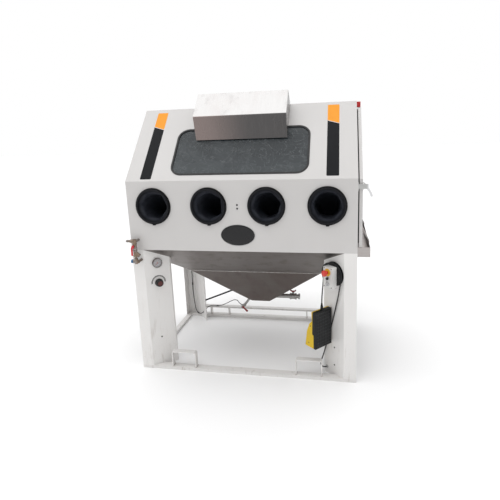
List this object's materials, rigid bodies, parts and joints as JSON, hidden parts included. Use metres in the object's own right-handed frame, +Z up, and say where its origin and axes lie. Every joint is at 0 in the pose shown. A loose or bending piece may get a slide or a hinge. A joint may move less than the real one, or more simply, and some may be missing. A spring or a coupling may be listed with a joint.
{
  "type": "wet blast cabinet",
  "caption": "Floor-standing wet blast cabinet with a sloped window, arm ports, a hopper on folded legs, a side door, a control box and a foot pedal.",
  "frame": {"origin": "on the floor, midway along the front rail's underside", "axes": "+X right, +Y towards the back, +Z up; the arm ports face -Y"},
  "size_m": [1.599, 1.075, 1.9046],
  "materials": {
    "white_paint": "powder coat, fine texture",
    "rail_paint": "powder coat, scuffed",
    "stainless_steel": "satin",
    "black_steel": "satin",
    "black_rubber": "matte",
    "cord_rubber": "satin",
    "tinted_glass": "polished",
    "clear_glass": "polished",
    "zinc_steel": "zinc plated",
    "lamp_plastic": "opal",
    "black_plastic": "moulded",
    "aluminium": "cast, satin",
    "grey_plastic": "moulded",
    "yellow_plastic": "moulded",
    "chrome_trim": "polished",
    "brass_fittings": "dull",
    "needle_red": "satin",
    "red_plastic": "moulded",
    "blue_plastic": "moulded",
    "red_paint": "dipped"
  },
  "bodies": {
    "cabinet": {"front_panel": "white_paint", "window_panel": "white_paint", "window_gasket": "black_rubber", "window_glass": "tinted_glass", "left_side_panel": "white_paint", "right_side_frame": "white_paint", "rear_cover": "white_paint", "exhaust_spigot": "zinc_steel", "hopper": "stainless_steel", "front_left_leg": "white_paint", "front_right_leg": "white_paint", "rear_legs": "white_paint", "floor_rails": "rail_paint", "fork_straps": "rail_paint", "rear_crossbar": "rail_paint", "lamp_housing": "stainless_steel", "lamp_tube": "lamp_plastic", "wiper_motor": "black_plastic", "arm_port_rings": "black_plastic", "port_clamp_bands": "black_steel", "outer_gauntlets": "black_rubber", "inner_gauntlets": "black_rubber", "work_grate": "zinc_steel", "blast_guns": "aluminium", "gauge_case": "black_plastic", "gauge_lens": "clear_glass", "regulator_body": "aluminium", "cord_reel": "black_plastic", "control_case": "grey_plastic", "control_cover": "grey_plastic", "estop_shroud": "yellow_plastic", "button_bezels": "chrome_trim", "pedal_base": "black_plastic", "pedal_hood": "yellow_plastic", "pedal_cord": "cord_rubber", "line_fittings": "zinc_steel", "fixed_hinges": "zinc_steel", "door_switch": "red_plastic", "inlet_pipework": "brass_fittings", "drain_valve": "zinc_steel", "sample_valve": "zinc_steel", "overflow_pipe": "cord_rubber", "air_line": "cord_rubber"},
    "door": {"door_panel": "white_paint", "door_seal": "black_rubber", "door_hardware": "zinc_steel", "drip_tray": "stainless_steel"},
    "latch": {"latch_handle": "chrome_trim"},
    "needle": {"gauge_needle": "needle_red"},
    "regulator_dial": {"regulator_knob": "black_plastic"},
    "stop_button": {"estop_button": "red_plastic"},
    "go_button": {"start_button": "black_plastic"},
    "selector": {"selector_knob": "grey_plastic"},
    "treadle": {"pedal_treadle": "black_plastic"},
    "wiper": {"wiper_arm": "zinc_steel", "wiper_blade": "black_rubber"},
    "inlet_handle": {"inlet_lever": "red_plastic"},
    "inlet_tap": {"inlet_tap_knob": "blue_plastic"},
    "drain_tap": {"drain_handle": "red_paint"},
    "sample_tap": {"sample_lever": "red_paint"}
  },
  "joints": [
    {"name": "door_swing", "type": "hinge", "parent": "cabinet", "child": "door", "pos_m": [0.772, 0.893, 1.375], "axis": [0, 0, 1], "range_deg": [0, 110]},
    {"name": "latch_turn", "type": "hinge", "parent": "door", "child": "latch", "pos_m": [0.785, 0.016, 1.296], "axis": [1, 0, 0], "range_deg": [0, 90]},
    {"name": "gauge_needle_turn", "type": "hinge", "parent": "cabinet", "child": "needle", "pos_m": [-0.60132, 0.02787, 0.774], "axis": [0.6783, -0.7348, 0], "range_deg": [-270, 0]},
    {"name": "regulator_turn", "type": "hinge", "parent": "cabinet", "child": "regulator_dial", "pos_m": [-0.59251, 0.01831, 0.632], "axis": [0.6783, -0.7348, 0], "range_deg": [-135, 135]},
    {"name": "stop_press", "type": "slide", "parent": "cabinet", "child": "stop_button", "axis": [0.6783, 0.7348, 0], "range_m": [0, 0.005]},
    {"name": "start_press", "type": "slide", "parent": "cabinet", "child": "go_button", "axis": [0.6783, 0.7348, 0], "range_m": [0, 0.003], "stiffness_N_per_m": 800, "springref_m": -0.0015},
    {"name": "selector_turn", "type": "hinge", "parent": "cabinet", "child": "selector", "pos_m": [0.55789, -0.04499, 0.684], "axis": [-0.6783, -0.7348, 0], "range_deg": [-90, 0]},
    {"name": "treadle_press", "type": "hinge", "parent": "cabinet", "child": "treadle", "pos_m": [0.52575, -0.01125, 0.458], "axis": [-0.6783, -0.7348, 0], "range_deg": [0, 6], "stiffness_Nm_per_rad": 20, "springref_deg": -8.59},
    {"name": "wiper_swing", "type": "hinge", "parent": "cabinet", "child": "wiper", "pos_m": [0.106, 0.26068, 1.68666], "axis": [0, -0.766, 0.6428], "range_deg": [0, 114]},
    {"name": "inlet_lever_turn", "type": "hinge", "parent": "cabinet", "child": "inlet_handle", "pos_m": [-0.703, -0.088, 0.92], "axis": [0, -1, 0], "range_deg": [0, 90]},
    {"name": "inlet_tap_turn", "type": "hinge", "parent": "cabinet", "child": "inlet_tap", "pos_m": [-0.725, -0.068, 0.813], "axis": [-1, 0, 0], "range_deg": [-360, 360]},
    {"name": "drain_turn", "type": "hinge", "parent": "cabinet", "child": "drain_tap", "pos_m": [0.2625, 0.674, 0.33], "axis": [0, 0, 1], "range_deg": [0, 90]},
    {"name": "sample_turn", "type": "hinge", "parent": "cabinet", "child": "sample_tap", "pos_m": [-0.15577, 0.611, 0.21325], "axis": [0, -1, 0], "range_deg": [-90, 0]}
  ]
}
